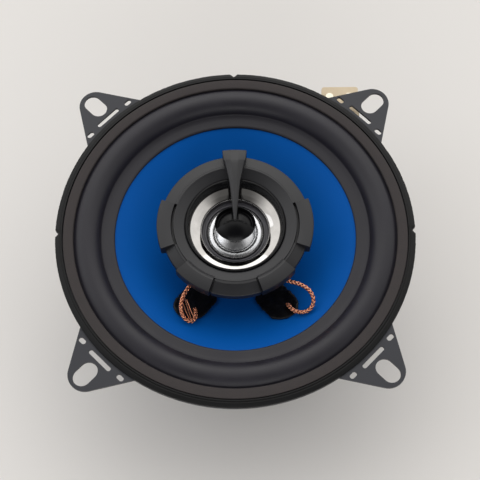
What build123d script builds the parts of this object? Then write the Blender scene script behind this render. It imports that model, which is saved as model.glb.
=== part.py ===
"""A 4 inch (10 cm) two-way coaxial car speaker.

Frame: +Z points out of the front, the origin is at the middle of the magnet's back, and the four
mounting ears lie on +X, +Y, -X and -Y. Heights are in millimetres above the back of the magnet.
The tweeter's bridge points to BRIDGE_ANGLE, half way between the ears on +Y and -X.
"""
from build123d import *
from math import cos, radians, sin, sqrt, tan
import os

os.makedirs("parts", exist_ok=True)

# Motor: back plate, magnet and top plate stand on each other
BACK_PLATE_R, BACK_PLATE_T = 30.0, 4.5
MAGNET_R, MAGNET_HOLE_R, MAGNET_T = 35.0, 16.0, 12.0
TOP_PLATE_R, TOP_PLATE_T = 31.0, 4.5
POLE_R, GAP_R = 12.05, 13.5
MAGNET_TOP_Z = BACK_PLATE_T + MAGNET_T
MOTOR_TOP_Z = MAGNET_TOP_Z + TOP_PLATE_T
POST_HOLE_R, SCREW_R = 2.6, 2.5
SCREW_POCKET_R, SCREW_POCKET_T = 5.5, 3.6

# Basket: one pressing of steel sheet
SHEET = 0.9
FLANGE_REAR_Z = 43.9
FLANGE_TOP_Z = FLANGE_REAR_Z + SHEET
RIM_R, CUP_R = 51.0, 44.9
SHOULDER_Z = 36.5
SPIDER_SEAT_Z, SPIDER_SEAT_R = 27.0, 31.4
WINDOW_IN_R, WINDOW_OUT_R, WINDOW_HALF_ANGLE = 33.2, 42.9, 30.0
EAR_ANGLES = (0, 90, 180, 270)
SPOKE_ANGLES = (45, 135, 225, 315)
SLOT_R, SLOT_W, SLOT_L = 58.0, 5.0, 7.5
EAR_TIP_R, EAR_ROOT_HALF_W, EAR_ROOT_R = 4.8, 10.8, 49.8
PIERCING_R = 52.6
LONG_PIERCING, SHORT_PIERCING, SHORT_PIERCING_Y = (8.2, 1.3), (2.3, 1.4), 7.5

# Gasket, rim trim, surround and cone
GASKET_TOP_Z = 46.1
EDGE_T, EDGE_R = 0.5, 49.9
GASKET_IN_R, GASKET_OUT_R = 45.8, 48.7
TRIM_IN_R, TRIM_FLAT_R, TRIM_DROP = 48.95, 49.5, 0.5
NOTCH_W, NOTCH_DEPTH = 2.2, 0.95
NOTCH_ANGLES = (45, 135, 225)
ROLL_OUT_R, ROLL_IN_R, ROLL_TOP_Z = 45.5, 38.2, 46.9
CONE_T = 0.8
NECK_R, NECK_Z = 12.6, 30.6
CONE_BLUE_R, CONE_BLUE_Z = 34.3, 42.6
CONE_RIM_R, CONE_RIM_Z = 38.1, 43.2
FORMER_T, FORMER_LOW_Z, FORMER_TOP_Z = 0.2, 9.5, 31.4
WINDING_T, WINDING_LOW_Z, WINDING_H = 0.55, 14.25, 9.0
SPIDER_T, SPIDER_OUT_R, SPIDER_WAVE = 0.4, 30.8, 0.8

# Tweeter, with heights above the gasket's top
BRIDGE_ANGLE = 135.0
TWEETER_FACE_R, TWEETER_CUP_R, TWEETER_BORE_R = 21.15, 13.5, 12.9
FACE_RIDGE_R, FACE_RIDGE_H, FACE_EDGE_H, SKIRT_H = 17.1, 5.5, 4.1, 1.9
LIP_IN_R, LIP_OUT_R, LIP_SEAT_H, LIP_TOP_H = 12.6, 14.0, 1.4, 4.6
CUP_FLOOR_H, YOKE_FLOOR_H, SHELF_H = -8.6, -7.4, -2.3
TWEETER_YOKE_R, TWEETER_YOKE_BORE_R, TWEETER_YOKE_FLOOR = 7.6, 6.0, 1.5
TWEETER_POLE_R, TWEETER_MAGNET_R, TWEETER_PLATE_T = 4.9, 4.6, 1.5
COIL_IN_R, COIL_OUT_R, COIL_LOW_H = 5.3, 5.6, -5.0
MOUNT_RING_IN_R, MOUNT_RING_OUT_R, MOUNT_RING_TOP_H = 8.2, 10.2, -1.5
DOME_R, DOME_TOP_H, EDGE_ROLL_R, EDGE_ROLL_TOP_H = 5.4, 0.2, 7.9, -0.7
DIAPHRAGM_H, FOIL = -1.3, 0.2
PLUG_R, PLUG_RIM_H, PLUG_TOP_H, PLUG_BACK_H = 5.7, 4.9, 7.2, 3.5
POST_R = 6.0

# Terminals, on the spoke side next to the ear on +Y
BOARD_ANGLE, BOARD_OFFSET = 135.0, -32.0
BOARD_IN, BOARD_OUT, BOARD_W, BOARD_T, BOARD_Z = 37.6, 49.6, 11.0, 1.6, 37.9
LUG_IN, LUG_OUT, BOARD_RIVET_AT, TAB_RIVET_AT = 30.5, 43.4, 41.5, 46.2
TAB_T, TAB_DROP = 0.8, 8.0
TABS = {"terminal_tab_positive": (-2.7, 4.8), "terminal_tab_negative": (3.2, 2.8)}
CAPACITOR_R, CAPACITOR_L, CAPACITOR_AT_R, CAPACITOR_Z = 4.0, 14.0, 41.4, 26.8
LEAD_R, REAR_LEAD_R = 0.6, 0.5
GLUE_T, GLUE_W, GLUE_END_R = 0.8, 9.8, 28.2
GLUE_ANGLES = (281.5, 348.0)


def section(points):
    """A closed outline of (radius, height) points, standing on the XZ plane."""
    with BuildSketch(Plane.XZ) as outline:
        with BuildLine():
            Polyline(*points, close=True)
        make_face()
    return outline.sketch


def sheet_section(points, thickness, bend):
    """A bent strip of sheet whose inner side follows the (radius, height) points."""
    with BuildSketch(Plane.XZ) as strip:
        with BuildLine():
            FilletPolyline(*points, radius=bend)
            offset(amount=thickness, side=Side.LEFT)
        make_face()
    return strip.sketch


def raised(points):
    """The same (radius, height) points, measured from the gasket's top."""
    return [(r, GASKET_TOP_Z + h) for r, h in points]


def ring_points(r_in, r_out, low, high):
    """The four corners of a plain ring's section."""
    return [(r_in, low), (r_out, low), (r_out, high), (r_in, high)]


def cap_height(r, rim_r, rim_h, top_h):
    """The height at radius r of a round cap that is top_h high on the axis and rim_h at rim_r."""
    ball_r = (rim_r ** 2 + (top_h - rim_h) ** 2) / (2 * (top_h - rim_h))
    return top_h - ball_r + sqrt(ball_r ** 2 - r ** 2)


def radial_plane(angle):
    """A vertical plane through the axis, with x outwards at that angle and y upwards."""
    a = radians(angle)
    return Plane(origin=(0, 0, 0), x_dir=(cos(a), sin(a), 0), z_dir=(sin(a), -cos(a), 0))


def flat_plane(angle, height):
    """A level plane at that height, with x outwards at that angle."""
    a = radians(angle)
    return Plane(origin=(0, 0, height), x_dir=(cos(a), sin(a), 0), z_dir=(0, 0, 1))


def sector(r_in, r_out, start, size):
    """A ring sector on the XY plane, from the start angle over size degrees."""
    with BuildSketch() as shape:
        with BuildLine():
            outer = CenterArc((0, 0), r_out, start, size)
            inner = CenterArc((0, 0), r_in, start, size)
            Line(outer @ 0, inner @ 0)
            Line(outer @ 1, inner @ 1)
        make_face()
    return shape.sketch


def lead_tube(points, radius):
    """A round lead along the points, with each corner as wide an arc as its runs allow."""
    corners = [Vector(*p) for p in points]
    bends = []
    for before, here, after in zip(corners, corners[1:], corners[2:]):
        turn = (here - before).get_angle(after - here)
        run = min((here - before).length, (after - here).length)
        bends.append(0.45 * run / tan(radians(turn / 2)))
    with BuildLine() as line:
        FilletPolyline(*corners, radius=bends)
    route = line.wire()
    with BuildSketch(Plane(origin=route @ 0, z_dir=route % 0)) as end:
        Circle(radius)
    with BuildPart() as tube:
        sweep(end.sketch, path=route)
    print(f"lead length {route.length:.1f} mm, volume ratio",
          round(tube.part.volume / (end.sketch.area * route.length), 3),
          "bend radii", [round(b, 1) for b in bends])
    return tube.part


def finish(part, label):
    """Name a finished part and write it."""
    part.label = label
    export_step(part, f"parts/{label}.step")


# ---------------------------------------------------------------- motor
with BuildPart() as yoke:
    revolve(section([(POST_HOLE_R, SCREW_POCKET_T), (SCREW_POCKET_R, SCREW_POCKET_T),
                     (SCREW_POCKET_R, 0), (BACK_PLATE_R, 0), (BACK_PLATE_R, BACK_PLATE_T),
                     (POLE_R, BACK_PLATE_T), (POLE_R, MOTOR_TOP_Z), (POST_HOLE_R, MOTOR_TOP_Z)]))
    chamfer(yoke.edges().filter_by(GeomType.CIRCLE).group_by(SortBy.RADIUS)[-1], 0.8)
finish(yoke.part, "yoke")

with BuildPart() as ring_magnet:
    revolve(section(ring_points(MAGNET_HOLE_R, MAGNET_R, BACK_PLATE_T, MAGNET_TOP_Z)))
    chamfer(ring_magnet.edges().filter_by(GeomType.CIRCLE).group_by(SortBy.RADIUS)[-1], 1.0)
finish(ring_magnet.part, "ring_magnet")

with BuildPart() as top_plate:
    revolve(section(ring_points(GAP_R, TOP_PLATE_R, MAGNET_TOP_Z, MOTOR_TOP_Z)))
    chamfer(top_plate.edges().filter_by(GeomType.CIRCLE).group_by(SortBy.RADIUS)[-1], 0.6)
finish(top_plate.part, "top_plate")

# ---------------------------------------------------------------- basket
with BuildSketch() as ear:
    with Locations((SLOT_R, 0)):
        Circle(EAR_TIP_R)
    with Locations((EAR_ROOT_R - 1, 0)):
        Rectangle(2, 2 * EAR_ROOT_HALF_W)
    make_hull()
    with Locations((SLOT_R, 0)):
        SlotOverall(SLOT_L, SLOT_W, mode=Mode.SUBTRACT)
    with Locations((PIERCING_R, 0)):
        SlotOverall(*LONG_PIERCING, rotation=90, mode=Mode.SUBTRACT)
    with Locations((PIERCING_R - 0.5, SHORT_PIERCING_Y), (PIERCING_R - 0.5, -SHORT_PIERCING_Y)):
        SlotOverall(*SHORT_PIERCING, rotation=90, mode=Mode.SUBTRACT)

with BuildSketch() as notches:
    for angle in NOTCH_ANGLES:
        with Locations(flat_plane(angle, 0)):
            Polygon((RIM_R - NOTCH_DEPTH, 0), (RIM_R + 1, NOTCH_W), (RIM_R + 1, -NOTCH_W), align=None)

with BuildPart() as basket:
    revolve(sheet_section([(RIM_R, FLANGE_TOP_Z), (CUP_R - SHEET, FLANGE_TOP_Z),
                           (CUP_R - 1.5, SHOULDER_Z), (SPIDER_SEAT_R, SPIDER_SEAT_Z),
                           (26.8, SPIDER_SEAT_Z), (26.0, MOTOR_TOP_Z + SHEET),
                           (15.6, MOTOR_TOP_Z + SHEET)], SHEET, 0.6))
    with BuildSketch(Plane.XY.offset(FLANGE_REAR_Z)):
        with PolarLocations(0, len(EAR_ANGLES)):
            add(ear.sketch)
        Circle(EAR_ROOT_R - 0.5, mode=Mode.SUBTRACT)
    extrude(amount=SHEET)
    with BuildSketch(Plane.XY.offset(SPIDER_SEAT_Z - 1)):
        for angle in EAR_ANGLES:
            add(sector(WINDOW_IN_R, WINDOW_OUT_R, angle - WINDOW_HALF_ANGLE,
                       2 * WINDOW_HALF_ANGLE))
        fillet(vertices(), 1.5)
    extrude(amount=SHOULDER_Z - SPIDER_SEAT_Z + 3, mode=Mode.SUBTRACT)
    with BuildSketch(Plane.XY.offset(FLANGE_REAR_Z)):
        add(notches.sketch)
    extrude(amount=SHEET, mode=Mode.SUBTRACT)
    # the lug that carries the terminal board, bent out of the cup's wall
    with BuildSketch(flat_plane(BOARD_ANGLE, BOARD_Z - SHEET)):
        with Locations(((LUG_OUT + LUG_IN) / 2, BOARD_OFFSET)):
            Rectangle(LUG_OUT - LUG_IN, BOARD_W - 3)
        Circle(CUP_R - 1.2, mode=Mode.SUBTRACT)
    extrude(amount=SHEET)
    with BuildSketch(flat_plane(BOARD_ANGLE, BOARD_Z - SHEET)):
        with Locations((BOARD_RIVET_AT, BOARD_OFFSET)):
            Circle(0.9)
    extrude(amount=SHEET, mode=Mode.SUBTRACT)
finish(basket.part, "basket")

with BuildPart() as basket_rivets:
    with BuildSketch(Plane.XY.offset(MOTOR_TOP_Z + SHEET)):
        for angle in SPOKE_ANGLES:
            with Locations((21 * cos(radians(angle)), 21 * sin(radians(angle)))):
                Circle(1.6)
    extrude(amount=0.8)
    fillet(basket_rivets.faces().sort_by(Axis.Z)[-4:].edges(), 0.5)
finish(basket_rivets.part, "basket_rivets")

with BuildPart() as gasket_ring:
    revolve(section(ring_points(GASKET_IN_R, GASKET_OUT_R, FLANGE_TOP_Z + EDGE_T, GASKET_TOP_Z)))
    chamfer(gasket_ring.edges().filter_by(GeomType.CIRCLE).group_by(Axis.Z)[-1], 0.15)
finish(gasket_ring.part, "gasket_ring")

with BuildPart() as rim_trim:
    revolve(section([(TRIM_IN_R, FLANGE_TOP_Z + EDGE_T), (EDGE_R + 0.1, FLANGE_TOP_Z + EDGE_T),
                     (EDGE_R + 0.1, FLANGE_TOP_Z), (RIM_R, FLANGE_TOP_Z),
                     (RIM_R, GASKET_TOP_Z - TRIM_DROP), (TRIM_FLAT_R, GASKET_TOP_Z),
                     (TRIM_IN_R, GASKET_TOP_Z)]))
    with BuildSketch(Plane.XY.offset(FLANGE_TOP_Z)):
        add(notches.sketch)
    extrude(amount=3, mode=Mode.SUBTRACT)
finish(rim_trim.part, "rim_trim")

# ---------------------------------------------------------------- surround and spider
with BuildPart() as surround:
    with BuildSketch(Plane.XZ):
        with BuildLine():
            top_in = Line((CONE_BLUE_R, CONE_BLUE_Z + EDGE_T), (ROLL_IN_R, CONE_RIM_Z + EDGE_T))
            top_roll = ThreePointArc(
                top_in @ 1, ((ROLL_IN_R + ROLL_OUT_R) / 2, ROLL_TOP_Z),
                (ROLL_OUT_R, FLANGE_TOP_Z + EDGE_T))
            Polyline(top_roll @ 1, (EDGE_R, FLANGE_TOP_Z + EDGE_T), (EDGE_R, FLANGE_TOP_Z),
                     (ROLL_OUT_R - EDGE_T, FLANGE_TOP_Z))
            low_roll = ThreePointArc(
                (ROLL_OUT_R - EDGE_T, FLANGE_TOP_Z),
                ((ROLL_IN_R + ROLL_OUT_R) / 2, ROLL_TOP_Z - EDGE_T),
                (ROLL_IN_R + EDGE_T, CONE_RIM_Z + 0.1))
            Polyline(low_roll @ 1, (CONE_RIM_R, CONE_RIM_Z), (CONE_BLUE_R, CONE_BLUE_Z),
                     top_in @ 0)
        make_face()
    revolve(axis=Axis.Z)
finish(surround.part, "surround")

WAVES_IN_R, WAVES_OUT_R, WAVE_FLANKS = NECK_R + 1.6, SPIDER_SEAT_R - 4, 10
flank = (WAVES_OUT_R - WAVES_IN_R) / WAVE_FLANKS
spider_middle = [(NECK_R, SPIDER_SEAT_Z), (WAVES_IN_R, SPIDER_SEAT_Z)]
for i in range(WAVE_FLANKS):
    side = SPIDER_WAVE if i % 2 else -SPIDER_WAVE
    spider_middle.append((WAVES_IN_R + (i + 0.5) * flank, SPIDER_SEAT_Z + side))
spider_middle += [(WAVES_OUT_R, SPIDER_SEAT_Z), (SPIDER_OUT_R, SPIDER_SEAT_Z)]
with BuildPart() as spider:
    revolve(section(spider_middle + [(r, z + SPIDER_T) for r, z in reversed(spider_middle)]))
finish(spider.part, "spider")

# ---------------------------------------------------------------- cone and voice coil
with BuildPart() as cone:
    with BuildSketch(Plane.XZ):
        with BuildLine():
            flare = ThreePointArc((NECK_R, NECK_Z), (23.0, 36.9), (CONE_BLUE_R, CONE_BLUE_Z))
            Polyline(flare @ 1, (CONE_RIM_R, CONE_RIM_Z), (CONE_RIM_R, CONE_RIM_Z - CONE_T),
                     (CONE_BLUE_R + 0.3, CONE_BLUE_Z - CONE_T - 0.1))
            ThreePointArc((CONE_BLUE_R + 0.3, CONE_BLUE_Z - CONE_T - 0.1), (23.4, 36.1),
                          (NECK_R + 0.4, NECK_Z - CONE_T))
            Polyline((NECK_R + 0.4, NECK_Z - CONE_T), (NECK_R, NECK_Z - CONE_T - 0.3), flare @ 0)
        make_face()
    revolve(axis=Axis.Z)
finish(cone.part, "cone")

with BuildPart() as voice_coil_former:
    revolve(section(ring_points(NECK_R - FORMER_T, NECK_R, FORMER_LOW_Z, FORMER_TOP_Z)))
finish(voice_coil_former.part, "voice_coil_former")

with BuildPart() as voice_coil_winding:
    revolve(section(ring_points(NECK_R, NECK_R + WINDING_T, WINDING_LOW_Z,
                                WINDING_LOW_Z + WINDING_H)))
finish(voice_coil_winding.part, "voice_coil_winding")

# a tongue of glue runs up the cone over each wire and is thickest where the copper lead enters it
with BuildPart() as cone_glue:
    with BuildSketch(Plane.XZ):
        with BuildLine():
            low = ThreePointArc((NECK_R, NECK_Z), (23.0, 36.9), (CONE_BLUE_R, CONE_BLUE_Z))
            Polyline(low @ 1, (CONE_BLUE_R, CONE_BLUE_Z + GLUE_T))
            high = ThreePointArc((CONE_BLUE_R, CONE_BLUE_Z + GLUE_T), (23.0, 36.9 + GLUE_T),
                                 (NECK_R, NECK_Z + GLUE_T))
            Line(high @ 1, low @ 0)
        make_face()
    revolve(axis=Axis.Z)
    with BuildSketch(Plane.XY.offset(NECK_Z - 5)):
        for angle in GLUE_ANGLES:
            middle = (GLUE_END_R + NECK_R + 1.4) / 2
            with Locations(Location((middle * cos(radians(angle)), middle * sin(radians(angle)), 0),
                                    (0, 0, angle))):
                SlotOverall(GLUE_END_R - NECK_R - 1.4, GLUE_W)
    extrude(amount=25, mode=Mode.INTERSECT)
finish(cone_glue.part, "cone_glue")

# ---------------------------------------------------------------- tweeter post and motor
CUP_FLOOR_Z = GASKET_TOP_Z + CUP_FLOOR_H
with BuildPart() as tweeter_post:
    revolve(section([(0, MOTOR_TOP_Z + 10), (SCREW_R, MOTOR_TOP_Z + 10), (SCREW_R, MOTOR_TOP_Z),
                     (9.0, MOTOR_TOP_Z), (9.0, MOTOR_TOP_Z + 1.5), (POST_R, MOTOR_TOP_Z + 3.5),
                     (POST_R, CUP_FLOOR_Z), (0, CUP_FLOOR_Z)]))
finish(tweeter_post.part, "tweeter_post")

with BuildPart() as post_screw:
    revolve(section([(0, 0.6), (3.6, 0.6), (4.5, 1.4), (4.5, SCREW_POCKET_T),
                     (SCREW_R, SCREW_POCKET_T), (SCREW_R, MOTOR_TOP_Z + 9),
                     (0, MOTOR_TOP_Z + 9)]))
    with BuildSketch(Plane.XY.offset(0.6)):
        Rectangle(5.0, 0.9)
        Rectangle(0.9, 5.0)
    extrude(amount=1.6, mode=Mode.SUBTRACT)
finish(post_screw.part, "post_screw")

with BuildPart() as tweeter_yoke:
    revolve(section(raised([(0, YOKE_FLOOR_H), (TWEETER_YOKE_R, YOKE_FLOOR_H),
                            (TWEETER_YOKE_R, SHELF_H), (TWEETER_YOKE_BORE_R, SHELF_H),
                            (TWEETER_YOKE_BORE_R, YOKE_FLOOR_H + TWEETER_YOKE_FLOOR),
                            (0, YOKE_FLOOR_H + TWEETER_YOKE_FLOOR)])))
finish(tweeter_yoke.part, "tweeter_yoke")

with BuildPart() as tweeter_magnet:
    revolve(section(raised(ring_points(0, TWEETER_MAGNET_R, YOKE_FLOOR_H + TWEETER_YOKE_FLOOR,
                                       SHELF_H - TWEETER_PLATE_T))))
finish(tweeter_magnet.part, "tweeter_magnet")

with BuildPart() as tweeter_pole_plate:
    revolve(section(raised(ring_points(0, TWEETER_POLE_R, SHELF_H - TWEETER_PLATE_T, SHELF_H))))
finish(tweeter_pole_plate.part, "tweeter_pole_plate")

# ---------------------------------------------------------------- tweeter housing
SIDE_BLOCKS = ((BRIDGE_ANGLE + 70, 40), (BRIDGE_ANGLE - 110, 40))
FRONT_PADS = ((BRIDGE_ANGLE + 130, 30), (BRIDGE_ANGLE - 160, 30))
with BuildPart() as tweeter_housing:
    revolve(section(raised([
        (0, CUP_FLOOR_H), (TWEETER_CUP_R - 2, CUP_FLOOR_H), (TWEETER_CUP_R, CUP_FLOOR_H + 2),
        (TWEETER_CUP_R, -0.8), (TWEETER_FACE_R - 0.6, SKIRT_H - 0.6), (TWEETER_FACE_R, SKIRT_H),
        (TWEETER_FACE_R, FACE_EDGE_H), (FACE_RIDGE_R, FACE_RIDGE_H), (LIP_OUT_R + 0.05, 4.2),
        (LIP_OUT_R + 0.05, LIP_SEAT_H), (TWEETER_BORE_R, LIP_SEAT_H), (TWEETER_BORE_R, SHELF_H),
        (TWEETER_YOKE_R, SHELF_H), (TWEETER_YOKE_R, YOKE_FLOOR_H), (0, YOKE_FLOOR_H)])))
    with BuildSketch(Plane.XY.offset(GASKET_TOP_Z + SKIRT_H)):
        for start, size in SIDE_BLOCKS:
            add(sector(FACE_RIDGE_R + 0.8, TWEETER_FACE_R + 0.75, start, size))
    extrude(amount=FACE_RIDGE_H - SKIRT_H)
    with BuildSketch(Plane.XY.offset(GASKET_TOP_Z + SKIRT_H)):
        for start, size in FRONT_PADS:
            add(sector(FACE_RIDGE_R - 0.1, TWEETER_FACE_R + 0.35, start, size))
    extrude(amount=FACE_RIDGE_H - SKIRT_H)
finish(tweeter_housing.part, "tweeter_housing")

with BuildPart() as tweeter_lip:
    revolve(section(raised([(LIP_IN_R, LIP_SEAT_H), (LIP_OUT_R, LIP_SEAT_H),
                            (LIP_OUT_R, LIP_TOP_H - 0.3), (LIP_OUT_R - 0.4, LIP_TOP_H),
                            (LIP_OUT_R - 0.8, LIP_TOP_H), (LIP_IN_R, LIP_SEAT_H + 0.9)])))
finish(tweeter_lip.part, "tweeter_lip")

with BuildPart() as tweeter_reflector:
    with BuildSketch(Plane.XZ):
        with BuildLine():
            horn = ThreePointArc(
                (LIP_IN_R + 0.2, GASKET_TOP_Z + LIP_SEAT_H),
                (10.4, GASKET_TOP_Z + 0.5), (9.4, GASKET_TOP_Z + MOUNT_RING_TOP_H))
            Polyline(horn @ 1, (10.1, GASKET_TOP_Z + MOUNT_RING_TOP_H))
            back = ThreePointArc(
                (10.1, GASKET_TOP_Z + MOUNT_RING_TOP_H), (11.0, GASKET_TOP_Z - 0.3),
                (TWEETER_BORE_R - 0.05, GASKET_TOP_Z + 0.6))
            Polyline(back @ 1, (TWEETER_BORE_R - 0.05, GASKET_TOP_Z + LIP_SEAT_H), horn @ 0)
        make_face()
    revolve(axis=Axis.Z)
finish(tweeter_reflector.part, "tweeter_reflector")

with BuildPart() as tweeter_mount_ring:
    revolve(section(raised(ring_points(MOUNT_RING_IN_R, MOUNT_RING_OUT_R, SHELF_H,
                                       MOUNT_RING_TOP_H))))
finish(tweeter_mount_ring.part, "tweeter_mount_ring")

ROLL_MID_R = (DOME_R + EDGE_ROLL_R) / 2
with BuildPart() as tweeter_diaphragm:
    with BuildSketch(Plane.XZ):
        with BuildLine():
            for low in (0, -FOIL):
                dome_mid = cap_height(3, DOME_R, DIAPHRAGM_H, DOME_TOP_H)
                ThreePointArc(*raised([(0, DOME_TOP_H + low), (3, dome_mid + low),
                                       (DOME_R, DIAPHRAGM_H + low)]))
                ThreePointArc(*raised([(DOME_R, DIAPHRAGM_H + low),
                                       (ROLL_MID_R, EDGE_ROLL_TOP_H + low),
                                       (EDGE_ROLL_R, DIAPHRAGM_H + low)]))
            Line(*raised([(0, DOME_TOP_H), (0, DOME_TOP_H - FOIL)]))
            Line(*raised([(EDGE_ROLL_R, DIAPHRAGM_H), (EDGE_ROLL_R, DIAPHRAGM_H - FOIL)]))
        make_face()
    revolve(axis=Axis.Z)
finish(tweeter_diaphragm.part, "tweeter_diaphragm")

with BuildPart() as tweeter_voice_coil:
    revolve(section(raised(ring_points(COIL_IN_R, COIL_OUT_R, COIL_LOW_H, DIAPHRAGM_H - FOIL))))
finish(tweeter_voice_coil.part, "tweeter_voice_coil")

# ---------------------------------------------------------------- bridge and phase plug
BRIDGE_SIDE = ((22.0, 2.4), (22.0, 7.0), (18.0, 8.6), (12.0, 8.3), (5.0, 7.8), (0.0, 7.0),
               (0.0, 4.6), (6.0, 5.6), (12.5, 6.2), (14.5, 5.9), (14.5, 4.0), (20.0, 2.4))
BRIDGE_PLAN = ((23.0, 3.5), (18.0, 3.0), (16.8, 2.5), (12.0, 2.0), (6.0, 1.2), (0.0, 0.4))
with BuildPart() as tweeter_bridge:
    with BuildSketch(radial_plane(BRIDGE_ANGLE)):
        with BuildLine():
            Polyline(*raised(BRIDGE_SIDE), close=True)
        make_face()
    extrude(amount=4, both=True)
    with BuildSketch(flat_plane(BRIDGE_ANGLE, GASKET_TOP_Z)):
        with BuildLine():
            Polyline(*BRIDGE_PLAN, *((r, -w) for r, w in reversed(BRIDGE_PLAN)), close=True)
        make_face()
    extrude(amount=10, mode=Mode.INTERSECT)
    add(tweeter_housing.part, mode=Mode.SUBTRACT)
    with BuildSketch(Plane.XZ):
        with BuildLine():
            crown = ThreePointArc(*raised([
                (0, PLUG_TOP_H), (3, cap_height(3, PLUG_R, PLUG_RIM_H, PLUG_TOP_H)),
                (PLUG_R, PLUG_RIM_H)]))
            Polyline(crown @ 1, (PLUG_R - 0.6, GASKET_TOP_Z + PLUG_BACK_H + 0.5),
                     (PLUG_R - 1.6, GASKET_TOP_Z + PLUG_BACK_H), (0, GASKET_TOP_Z + PLUG_BACK_H),
                     crown @ 0)
        make_face()
    revolve(axis=Axis.Z)
finish(tweeter_bridge.part, "tweeter_bridge")

# ---------------------------------------------------------------- terminals and crossover
BOARD_MID = (BOARD_IN + BOARD_OUT) / 2
with BuildPart() as terminal_board:
    with BuildSketch(flat_plane(BOARD_ANGLE, BOARD_Z)):
        with Locations((BOARD_MID, BOARD_OFFSET)):
            Rectangle(BOARD_OUT - BOARD_IN, BOARD_W)
        fillet(vertices(), 0.8)
        with Locations((BOARD_RIVET_AT, BOARD_OFFSET)):
            Circle(0.9, mode=Mode.SUBTRACT)
        with Locations(*((TAB_RIVET_AT, BOARD_OFFSET + y) for y, width in TABS.values())):
            Circle(0.7, mode=Mode.SUBTRACT)
    extrude(amount=BOARD_T)
finish(terminal_board.part, "terminal_board")

with BuildPart() as board_rivet:
    with BuildSketch(flat_plane(BOARD_ANGLE, BOARD_Z - SHEET - 0.6)):
        with Locations((BOARD_RIVET_AT, BOARD_OFFSET)):
            Circle(1.6)
    extrude(amount=0.6)
    with BuildSketch(flat_plane(BOARD_ANGLE, BOARD_Z - SHEET)):
        with Locations((BOARD_RIVET_AT, BOARD_OFFSET)):
            Circle(0.88)
    extrude(amount=SHEET + BOARD_T)
    with BuildSketch(flat_plane(BOARD_ANGLE, BOARD_Z + BOARD_T)):
        with Locations((BOARD_RIVET_AT, BOARD_OFFSET)):
            Circle(1.6)
    extrude(amount=0.6)
finish(board_rivet.part, "board_rivet")

for tab_name, (tab_y, tab_width) in TABS.items():
    with BuildPart() as tab:
        with BuildSketch(flat_plane(BOARD_ANGLE, BOARD_Z - TAB_T)):
            with Locations((47.0, BOARD_OFFSET + tab_y)):
                Rectangle(4.8, tab_width)
        extrude(amount=TAB_T)
        with BuildSketch(flat_plane(BOARD_ANGLE, BOARD_Z - TAB_DROP)):
            with Locations((49.4 - TAB_T / 2, BOARD_OFFSET + tab_y)):
                Rectangle(TAB_T, tab_width)
        extrude(amount=TAB_DROP)
        with BuildSketch(flat_plane(BOARD_ANGLE, BOARD_Z)):
            with Locations((TAB_RIVET_AT, BOARD_OFFSET + tab_y)):
                Circle(0.68)
        extrude(amount=BOARD_T)
        with BuildSketch(flat_plane(BOARD_ANGLE, BOARD_Z + BOARD_T)):
            with Locations((TAB_RIVET_AT, BOARD_OFFSET + tab_y)):
                Circle(1.2)
        extrude(amount=0.4)
    finish(tab.part, tab_name)

with BuildPart() as crossover_capacitor:
    a = radians(BRIDGE_ANGLE)
    middle = Vector(CAPACITOR_AT_R * cos(a), CAPACITOR_AT_R * sin(a), CAPACITOR_Z)
    with BuildSketch(Plane(origin=middle, z_dir=(sin(a), -cos(a), 0))):
        Circle(CAPACITOR_R)
    extrude(amount=CAPACITOR_L / 2, both=True)
    chamfer(crossover_capacitor.edges().filter_by(GeomType.CIRCLE), 0.5)
finish(crossover_capacitor.part, "crossover_capacitor")

with BuildPart() as capacitor_glue:
    with BuildSketch(radial_plane(BRIDGE_ANGLE)):
        with BuildLine():
            Polyline((36.0, 29.2), (41.6, 33.3), (44.6, 29.6), (39.2, 23.8), close=True)
        make_face()
    extrude(amount=4, both=True)
    add(crossover_capacitor.part, mode=Mode.SUBTRACT)
    add(basket.part, mode=Mode.SUBTRACT)
finish(capacitor_glue.part, "capacitor_glue")

# ---------------------------------------------------------------- leads
COPPER_LEADS = {
    "tweeter_lead_left": [(-0.2, -14.2, 43.6), (1.5, -17.6, 44.2), (2.3, -21.2, 44.9),
                          (3.2, -24.6, 44.5), (5.2, -27.0, 43.2), (7.6, -27.7, 41.8),
                          (9.2, -26.4, 40.6), (8.4, -24.0, 39.5), (6.2, -22.6, 37.9)],
    "tweeter_lead_right": [(14.2, -1.4, 43.6), (17.6, -1.3, 44.5), (20.8, -0.4, 45.2),
                           (24.2, 1.6, 45.2), (27.6, 2.2, 44.4), (30.2, 0.6, 43.0),
                           (30.4, -2.2, 41.9), (28.0, -4.3, 41.2), (25.6, -4.3, 40.4),
                           (24.0, -3.6, 38.8)],
}
for lead_name, lead_points in COPPER_LEADS.items():
    finish(lead_tube(lead_points, LEAD_R), lead_name)

REAR_LEADS = {
    "rear_lead_positive": [(-7.4, 46.0, 36.4), (-6.6, 42.6, 34.0), (-5.6, 37.6, 32.6),
                           (-4.8, 32.2, 32.2), (-4.4, 27.2, 33.2), (-4.3, 23.4, 35.8)],
    "rear_lead_negative": [(-1.4, 46.8, 36.4), (-0.2, 42.8, 33.6), (1.2, 37.8, 31.9),
                           (2.4, 32.4, 31.6), (3.4, 27.4, 32.9), (4.0, 23.6, 35.8)],
}
for lead_name, lead_points in REAR_LEADS.items():
    finish(lead_tube(lead_points, REAR_LEAD_R), lead_name)
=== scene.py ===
# %% [markdown]
# A coaxial car speaker, piece by piece.
#
# The real thing is a 10 cm (4 inch) two-way speaker for a car door: a pressed steel basket with
# four ears, a magnet behind it, a blue plastic cone on a rubber surround, and a small tweeter on a
# post in the middle, with a thin bridge that holds a plug over its dome. The CAD model has the
# sizes and the motion. This lesson gives each piece the shape, the finish and the small signs of
# how it was made that the eye looks for.

# %% Load the frame
from math import atan2, cos, exp, pi, radians, sin, sqrt, tan

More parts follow.
